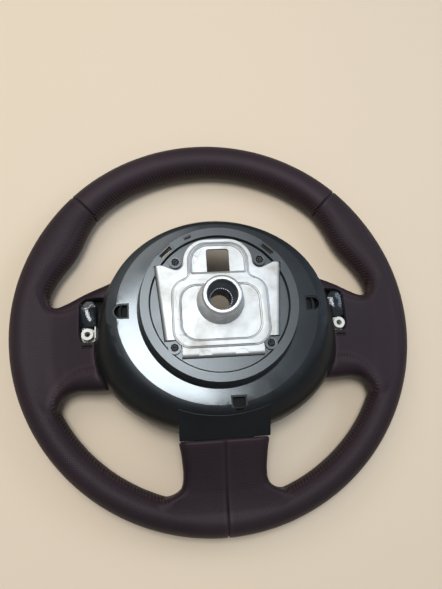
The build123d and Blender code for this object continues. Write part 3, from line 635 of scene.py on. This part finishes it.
def leather_material(name, perforated):
    """Dark brown leather with a fine grain, and rows of pin holes where perforated, with painted shade in
    the holes.
    """
    dark = (0.0180, 0.0098, 0.0125)
    light = (0.0250, 0.0140, 0.0175)
    painted_hole_shade = (0.003, 0.002, 0.0025)
    hole_shade = 0.9
    material, tree, shader = new_material(name)
    place = object_place(tree)
    colour = ramp(tree, noise(tree, place, scale=14.0, detail=3.0), [(0.3, dark), (0.7, light)])
    set_inputs(shader, Roughness=0.55, Specular_IOR_Level=0.24, Specular_Tint=(1.0, 0.88, 0.95, 1.0))
    set_inputs(shader, Sheen_Weight=0.01, Sheen_Roughness=0.45)
    grain = add_node(tree, "ShaderNodeTexVoronoi", Scale=1100.0)
    tree.links.new(place, grain.inputs["Vector"])
    fine = bump(tree, shader, grain.outputs["Distance"], strength=0.16, distance=0.0004)
    creases = noise(tree, place, scale=120.0)
    relief = bump(tree, shader, creases, strength=0.06, distance=0.0012, below=fine)
    if perforated:
        hole = pin_holes(tree)
        shade = math_node(tree, "MULTIPLY", hole, hole_shade)
        # Painted shade: the pin holes are coloured near-black for the shade inside them
        colour = mix_colour(tree, shade, colour, painted_hole_shade)
        sunk = math_node(tree, "MULTIPLY", hole, -1.0)
        bump(tree, shader, sunk, strength=0.5, distance=0.0003, below=relief)
    tree.links.new(colour, shader.inputs["Base Color"])
    return material


def thread_material():
    """Waxed brown thread."""
    dark = (0.024, 0.015, 0.013)
    light = (0.062, 0.041, 0.031)
    material, tree, shader = new_material("thread")
    strands = noise(tree, object_place(tree), scale=900.0, detail=2.0)
    tree.links.new(ramp(tree, strands, [(0.35, dark), (0.7, light)]), shader.inputs["Base Color"])
    set_inputs(shader, Roughness=0.6, Specular_IOR_Level=0.3)
    bump(tree, shader, strands, strength=0.3, distance=0.0002)
    return material


def cover_material(name, roughness, specular, grain):
    """Black moulding with a fine texture and faint handling marks, duller on the raised disc."""
    dark = (0.005, 0.0054, 0.006)
    light = (0.008, 0.0086, 0.0095)
    handling_wear = 0.07
    disc_wear = 0.16
    material, tree, shader = new_material(name)
    place = object_place(tree)
    marks = noise(tree, place, scale=30.0, detail=6.0)
    tree.links.new(ramp(tree, marks, [(0.3, dark), (0.75, light)]), shader.inputs["Base Color"])
    gloss = ramp(tree, marks, [(0.25, grey(roughness)), (0.8, grey(roughness + handling_wear))])
    raised = math_node(tree, "GREATER_THAN", split_axes(tree, place)["Z"], disc_above * MM)
    worn = math_node(tree, "MULTIPLY", raised, disc_wear)
    tree.links.new(math_node(tree, "ADD", gloss, worn), shader.inputs["Roughness"])
    set_inputs(shader, Specular_IOR_Level=specular, Specular_Tint=(0.9, 0.96, 1.0, 1.0))
    bump(tree, shader, noise(tree, place, scale=1500.0, detail=2.0), strength=grain, distance=0.0003)
    return material


def hair_scratches(tree, place):
    """Share of thin crooked scratches, in rubbed patches only."""
    crooked = vector_node(
        tree, "MULTIPLY_ADD", noise(tree, place, scale=45.0, detail=3.0, output="Color"), (0.02, 0.02, 0.0)
    )
    tree.links.new(place, crooked.inputs[2])
    crack = add_node(tree, "ShaderNodeTexVoronoi", Scale=70.0)
    crack.feature = "DISTANCE_TO_EDGE"
    tree.links.new(crooked.outputs[0], crack.inputs["Vector"])
    hair = ramp(tree, crack.outputs["Distance"], [(0.0, grey(0.5)), (0.02, BLACK)])
    rubbed = ramp(tree, noise(tree, place, scale=22.0, detail=2.0), [(0.52, BLACK), (0.64, WHITE)])
    return math_node(tree, "MULTIPLY", hair, rubbed)


def painted_bead_shade(tree, height):
    """Share of the painted shade lines along the bead's foot and crest, from the height in metres."""
    strong = grey(0.9)
    rise = math_node(tree, "SUBTRACT", height, plate_top * MM)
    rise = math_node(tree, "MULTIPLY", rise, 1.0 / (bead_height * MM))
    foot = [(0.02, BLACK), (0.05, strong), (0.2, strong), (0.26, BLACK)]
    crest = [(0.74, BLACK), (0.8, strong), (0.95, strong), (0.98, BLACK)]
    return ramp(tree, rise, foot + crest)


def zinc_material():
    """Dull zinc plate with cloudy stains and hair scratches, painted shade lines along the bead, and
    painted shade on its parts that reach down under the cover.
    """
    stains = [
        (0.28, (0.33, 0.30, 0.26)),
        (0.42, (0.49, 0.48, 0.465)),
        (0.6, (0.56, 0.565, 0.565)),
        (0.8, (0.41, 0.44, 0.51)),
    ]
    scratch_colour = (0.16, 0.15, 0.14)
    bead_shade_colour = (0.09, 0.085, 0.08)
    material, tree, shader = new_material("zinc_plate")
    place = object_place(tree)
    height = split_axes(tree, place)["Z"]
    cloud = noise(tree, place, scale=34.0, detail=8.0, roughness=0.62)
    colour = mix_colour(tree, hair_scratches(tree, place), ramp(tree, cloud, stains), scratch_colour)
    # Painted shade lines along the bead's foot and crest
    colour = mix_colour(tree, painted_bead_shade(tree, height), colour, bead_shade_colour)
    # Painted shade: below this height the plate reaches down under the cover and is coloured nearly black
    under = math_node(tree, "LESS_THAN", height, painted_shade_below * MM)
    colour = mix_colour(tree, under, colour, grey(0.004))
    tree.links.new(colour, shader.inputs["Base Color"])
    set_inputs(shader, Metallic=1.0)
    gloss = ramp(tree, cloud, [(0.3, grey(0.64)), (0.7, grey(0.54))])
    tree.links.new(gloss, shader.inputs["Roughness"])
    bump(tree, shader, noise(tree, place, scale=60.0, detail=5.0), strength=0.10, distance=0.001)
    return material


def turned_material():
    """Turned steel, with painted shade inside the bore."""
    dark = (0.46, 0.46, 0.455)
    light = (0.62, 0.62, 0.615)
    painted_bore_shade = (0.40, 0.42, 0.45)
    material, tree, shader = new_material("turned_steel")
    place = object_place(tree)
    grains = noise(tree, place, scale=220.0)
    flat = vector_node(tree, "MULTIPLY", place, (1.0, 1.0, 0.0))
    reach = vector_node(tree, "LENGTH", flat.outputs[0])
    share = math_node(tree, "MULTIPLY", reach.outputs["Value"], 1.0 / (bore_reach * MM))
    inside = ramp(tree, share, [(0.93, WHITE), (1.0, BLACK)])
    # Painted shade inside the bore, mixed in by distance from the axis
    colour = mix_colour(tree, inside, ramp(tree, grains, [(0.3, dark), (0.75, light)]), painted_bore_shade)
    tree.links.new(colour, shader.inputs["Base Color"])
    set_inputs(shader, Metallic=1.0, Roughness=0.45)
    bump(tree, shader, grains, strength=0.15, distance=0.0004)
    return material


def plain_material(name, dark, light, roughness, metallic=0.0, scale=200.0, strength=0.1):
    """Simple finish: two shades in a fine noise, with a light bump."""
    material, tree, shader = new_material(name)
    grains = noise(tree, object_place(tree), scale)
    tree.links.new(ramp(tree, grains, [(0.3, dark), (0.7, light)]), shader.inputs["Base Color"])
    set_inputs(shader, Roughness=roughness, Metallic=metallic)
    bump(tree, shader, grains, strength, distance=0.0006)
    return material


leather_plain = leather_material("leather_smooth", False)
leather_holes = leather_material("leather_perforated", True)
thread = thread_material()


# Leather wraps
def fade_in(distance, margin):
    """0 up to a margin, then a rise to 1."""
    return np.clip((distance - margin) / hole_fade, 0.0, 1.0)


def wrap_layer(piece, points):
    """UV layer along and across the wrap in millimetres, and where the pin holes are kept."""
    x, y, z = points.T
    angle = np.degrees(np.arctan2(y, np.abs(x)))
    width = half_width(angle)
    reach = rim_radius - width
    lift = np.arctan2((z - rim_half_thickness) / rim_half_thickness, (np.hypot(x, y) - reach) / width)
    rim_uv = np.stack([np.radians(angle) * reach, lift * (width + rim_half_thickness) / 2], axis=1)
    flat_uv = points[:, :2]
    nearer = np.minimum(side_field(x, y, z), lower_field(x, y, z)) - rim_field(x, y, z)
    keep = fade_in(path_distance(x, y), inner_seam_margin)
    keep *= fade_in(np.abs(sector_distance(x, y, seam_angle)), wrap_end_margin)
    keep *= fade_in(np.abs(x), wrap_end_margin)
    keep *= fade_in(cover_distance(x, y), cover_margin)
    mesh = piece.data
    layer = mesh.uv_layers.new(name="wrap")
    loops = np.empty(len(mesh.loops), np.int32)
    mesh.loops.foreach_get("vertex_index", loops)
    sizes = np.empty(len(mesh.polygons), np.int32)
    mesh.polygons.foreach_get("loop_total", sizes)
    first = np.concatenate([[0], np.cumsum(sizes)[:-1]])
    on_rim = np.repeat(np.add.reduceat(nearer[loops], first) > 0.0, sizes)
    uv = np.where(on_rim[:, None], rim_uv[loops], flat_uv[loops])
    layer.data.foreach_set("uv", uv.astype(np.float32).ravel())
    attribute = mesh.attributes.new("holes", "FLOAT", "POINT")
    attribute.data.foreach_set("value", keep.astype(np.float32))


right_points, right_quads = wrap_mesh(right_leather, right_box)
leather_right = new_object("leather_wrap_right", right_points, right_quads[:, ::-1], leather_holes)
wrap_layer(leather_right, right_points)
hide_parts("leather_right")

left_points = right_points * mirror
leather_left = new_object("leather_wrap_left", left_points, right_quads, leather_holes)
wrap_layer(leather_left, left_points)
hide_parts("leather_left")

top_points, top_quads = wrap_mesh(top_leather, top_box)
leather_top = new_object("leather_wrap_top", top_points, top_quads[:, ::-1], leather_plain)
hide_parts("leather_top")


# Stitches along the inner seams
def rear_height(x, y):
    """Height of the grip's rear surface over plan points."""
    low = np.full(len(x), rim_half_thickness)
    high = np.full(len(x), grip_top)
    for _ in range(halvings):
        middle = (low + high) / 2
        inside = grip_field(x, y, middle) < 0
        low = np.where(inside, middle, low)
        high = np.where(inside, high, middle)
    return (low + high) / 2


def stitch_faces(start):
    """Faces of one stitch, a closed tube whose points begin at an index."""
    faces = []
    for a in range(start, start + (stitch_rings - 1) * stitch_sides, stitch_sides):
        b = a + stitch_sides
        for j in range(stitch_sides):
            k = (j + 1) % stitch_sides
            faces.append((a + j, a + k, b + k, b + j))
    last = start + (stitch_rings - 1) * stitch_sides
    faces.append(tuple(start + j for j in reversed(range(stitch_sides))))
    faces.append(tuple(last + j for j in range(stitch_sides)))
    return faces


def stitch_row(line):
    """Thread loops across a seam line given in plan, as points and faces."""
    places = even_points(line, stitch_pitch)
    along = np.gradient(places, axis=0)
    along /= np.linalg.norm(along, axis=1, keepdims=True)
    across = np.stack([-along[:, 1], along[:, 0]], axis=1)
    steps = np.linspace(-1.0, 1.0, stitch_rings)
    lift = stitch_radius * (stitch_lift - stitch_dip * steps**4)
    points = []
    faces = []
    for index, (place, forward, aside) in enumerate(zip(places, along, across)):
        plan = place + np.outer(steps * stitch_half_length, aside)
        plan = plan + np.outer(steps * stitch_slant * stitch_pitch, forward)
        centre = np.column_stack([plan, rear_height(*plan.T)])
        normal = field_normals(grip_field, centre)
        centre = centre + normal * lift[:, None]
        run = np.gradient(centre, axis=0)
        run /= np.linalg.norm(run, axis=1, keepdims=True)
        binormal = np.cross(run, normal)
        ring = []
        for turn in np.arange(stitch_sides) * math.tau / stitch_sides:
            ring.append(centre + stitch_radius * (math.cos(turn) * normal + math.sin(turn) * binormal))
        points.append(np.stack(ring, axis=1).reshape(-1, 3))
        faces += stitch_faces(index * stitch_sides * stitch_rings)
    return np.concatenate(points), faces


def stitch_objects():
    """Stitches of the right-hand seams and their mirror images."""
    for label, line in seam_lines.items():
        points, faces = stitch_row(line)
        mirrored_faces = [face[::-1] for face in faces]
        right = new_object(f"stitches_{label}_right", points, faces, thread)
        left = new_object(f"stitches_{label}_left", points * mirror, mirrored_faces, thread)


stitch_objects()


# Solids that keep their shape get a finish, and some of them small rounds on their sharp edges
def round_edges(piece, width):
    """Small round along sharp edges."""
    rounding = piece.modifiers.new("edge_round", "BEVEL")
    rounding.width = width * MM
    rounding.segments = 2
    rounding.limit_method = "ANGLE"
    rounding.angle_limit = math.radians(sharp_angle)


def even_shading(piece):
    """Smooth shading that keeps flat faces flat."""
    smooth_faces(piece)
    normals = piece.modifiers.new("normals", "WEIGHTED_NORMAL")
    normals.keep_sharp = True


def finish_solids(finishes):
    """Give each solid its material, close its mesh and shade it."""
    for name, material in finishes.items():
        solid = nodes[name]
        solid.data.materials.clear()
        solid.data.materials.append(material)
        weld = solid.modifiers.new("weld", "WELD")
        weld.merge_threshold = weld_distance * MM
        if name in rounded_solids:
            round_edges(solid, edge_round)
        even_shading(solid)


def grain_cover():
    """Give the cover's skirt and hood a grained finish; its face and disc stay glossy."""
    mesh = nodes["rear_cover"].data
    mesh.materials.append(cover_material("moulded_black_grained", roughness=0.38, specular=0.28, grain=0.1))
    for polygon in mesh.polygons:
        lowest = min(mesh.vertices[index].co.z for index in polygon.vertices)
        polygon.material_index = 0 if lowest > glossy_above * MM else 1


zinc = zinc_material()
# Painted shade: the frame, seen only through holes, is coloured nearly black so the holes read as shade
frame_steel = plain_material("frame_steel", grey(0.003), grey(0.006), roughness=0.9)
nylon = plain_material("white_nylon", (0.58, 0.56, 0.50), (0.70, 0.68, 0.62), roughness=0.42)
# Painted shade: the springs behind the access holes are coloured nearly black so the holes read as shade
wire = plain_material("painted_shade_spring_wire", grey(0.004), grey(0.009), roughness=0.8)
gloss_insert = plain_material(
    "gloss_insert", (0.006, 0.007, 0.009), (0.016, 0.018, 0.021), roughness=0.1, scale=130.0, strength=1.0
)
foam = plain_material(
    "foam", (0.010, 0.007, 0.008), (0.016, 0.011, 0.012), roughness=0.85, scale=400.0, strength=0.4
)
finishes = {
    "rear_cover": cover_material("moulded_black", roughness=0.17, specular=1.0, grain=0.02),
    "hub_plate": zinc,
    "hub_boss": turned_material(),
    "cover_screws": plain_material("black_screw", grey(0.01), grey(0.03), roughness=0.35, metallic=0.6),
    "foam_body": foam,
    "rim_ring": frame_steel,
    "lower_airbag_spring": wire,
}
for side in ("left", "right"):
    finishes[f"{side}_spoke_arm"] = frame_steel
    finishes[f"lower_{side}_arm"] = frame_steel
    finishes[f"{side}_switch_bush"] = nylon
    finishes[f"{side}_switch_carrier"] = gloss_insert
    finishes[f"{side}_airbag_spring"] = wire
finish_solids(finishes)
grain_cover()


# Bead on the hub plate
def rounded_outline(corners):
    """Points of a closed outline, mirrored from its right half, and the normals into it."""
    ring = np.array(corners + [(-x, y, radius) for x, y, radius in reversed(corners)])
    points = []
    inward = []
    for before, here, after in zip(np.roll(ring, 1, axis=0), ring, np.roll(ring, -1, axis=0)):
        back = (before - here)[:2] / np.linalg.norm((before - here)[:2])
        ahead = (after - here)[:2] / np.linalg.norm((after - here)[:2])
        half = math.acos(back @ ahead) / 2
        side = math.copysign(1.0, back[0] * ahead[1] - back[1] * ahead[0])
        radius = here[2]
        centre = here[:2] + (back + ahead) / np.linalg.norm(back + ahead) * radius / math.sin(half)
        first = here[:2] + back * radius / math.tan(half) - centre
        for turn in np.linspace(0.0, math.pi - 2 * half, corner_points) * -side:
            spoke = Matrix.Rotation(turn, 2) @ Vector(first)
            points.append(centre + np.array(spoke))
            inward.append(-side * np.array(spoke) / radius)
    return np.array(points), np.array(inward)


def bead_walls():
    """Three levels of points, from sunk foot to crest, for the outer outline and each panel."""
    walls = []
    for corners in [bead_corners] + panel_corners:
        plan, inward = rounded_outline(corners)
        narrow = plan + inward * bead_slope
        foot, crest = (plan, narrow) if corners is bead_corners else (narrow, plan)
        levels = ((foot, plate_top - bead_sunk), (foot, plate_top), (crest, plate_top + bead_height))
        walls.append([np.column_stack([points, np.full(len(points), z)]) for points, z in levels])
    return walls


def bead_piece(material):
    """Raised band on the plate, between its outer outline and the two panels."""
    walls = bead_walls()
    points = np.concatenate([level for wall in walls for level in wall])
    faces = []
    tops = []
    bottoms = []
    start = 0
    for index, wall in enumerate(walls):
        count = len(wall[0])
        for a in (start, start + count):
            for i in range(count):
                j = (i + 1) % count
                quad = (a + i, a + j, a + count + j, a + count + i)
                faces.append(quad[::-1] if index == 0 else quad)
        bottoms.append(np.arange(start, start + count))
        tops.append(np.arange(start + 2 * count, start + 3 * count))
        start += 3 * count
    for rings, sign in ((tops, 1.0), (bottoms, -1.0)):
        order = np.concatenate(rings)
        for corner in tessellate_polygon([[Vector(points[k]) for k in ring] for ring in rings]):
            a, b, c = order[list(corner)]
            up = np.cross(points[b] - points[a], points[c] - points[a])[2]
            faces.append((a, b, c) if up * sign > 0 else (a, c, b))
    piece = new_object("plate_bead", points, faces, material)
    round_edges(piece, bead_round)
    even_shading(piece)


bead_piece(zinc)


# Stage
def make_floor():
    """Plain pale floor under the wheel."""
    half = 6.0
    corners = [(-half, -half, 0), (half, -half, 0), (half, half, 0), (-half, half, 0)]
    mesh = bpy.data.meshes.new("floor")
    mesh.from_pydata(corners, [], [(0, 1, 2, 3)])
    floor = bpy.data.objects.new("floor", mesh)
    bpy.context.scene.collection.objects.link(floor)
    material, _, shader = new_material("pale_floor")
    set_inputs(shader, Base_Color=(0.68, 0.545, 0.405, 1.0), Roughness=0.75)
    mesh.materials.append(material)


def make_light(name, place, target, size, power, colour):
    """Soft square lamp aimed at a point."""
    lamp = bpy.data.lights.new(name, "AREA")
    lamp.size = size
    lamp.energy = power
    lamp.color = colour
    holder = bpy.data.objects.new(name, lamp)
    holder.location = place
    aim = Vector(target) - Vector(place)
    holder.rotation_euler = aim.to_track_quat("-Z", "Y").to_euler()
    bpy.context.scene.collection.objects.link(holder)


def make_camera():
    """Camera at the photograph's place, in the wheel's frame."""
    right = Vector((0.9940, -0.0687, 0.0857))
    down = Vector((-0.0416, -0.9575, -0.2853))
    ahead = Vector((0.1016, 0.2800, -0.9546))
    place = Vector((-40.4, -107.9, 475.1)) * MM
    focal_pixels = 496.6
    frame_height = 589.0
    lens = bpy.data.cameras.new("camera")
    lens.sensor_width = 36.0
    lens.lens = focal_pixels / frame_height * lens.sensor_width
    lens.clip_start = 0.01
    camera = bpy.data.objects.new("camera", lens)
    turn = Matrix((right, -down, -ahead)).transposed()
    camera.matrix_world = Matrix.Translation(place) @ turn.to_4x4()
    bpy.context.scene.collection.objects.link(camera)
    bpy.context.scene.camera = camera


def make_world():
    """Soft light from all round, stronger from above."""
    level_light = grey(0.15)
    top_light = (0.40, 0.44, 0.48)
    world = bpy.data.worlds.new("studio")
    world.use_nodes = True
    tree = world.node_tree
    direction = tree.nodes.new("ShaderNodeTexCoord").outputs["Generated"]
    sky = ramp(tree, split_axes(tree, direction)["Z"], [(0.0, level_light), (1.0, top_light)])
    tree.links.new(sky, tree.nodes["Background"].inputs["Color"])
    bpy.context.scene.world = world


make_floor()
make_light("overhead", (-0.14, 0.17, 1.5), (-0.14, 0.17, 0), size=0.5, power=13.5, colour=(0.93, 0.98, 1.0))
make_light("key", (-0.7, 1.0, 1.5), (0, 0, 0), size=1.2, power=9.0, colour=(1.0, 0.97, 0.92))
make_light("fill", (1.4, 0.5, 1.1), (0, 0, 0), size=0.8, power=9.0, colour=(0.64, 0.80, 1.0))
make_camera()
make_world()
bpy.context.scene.view_settings.view_transform = "Standard"
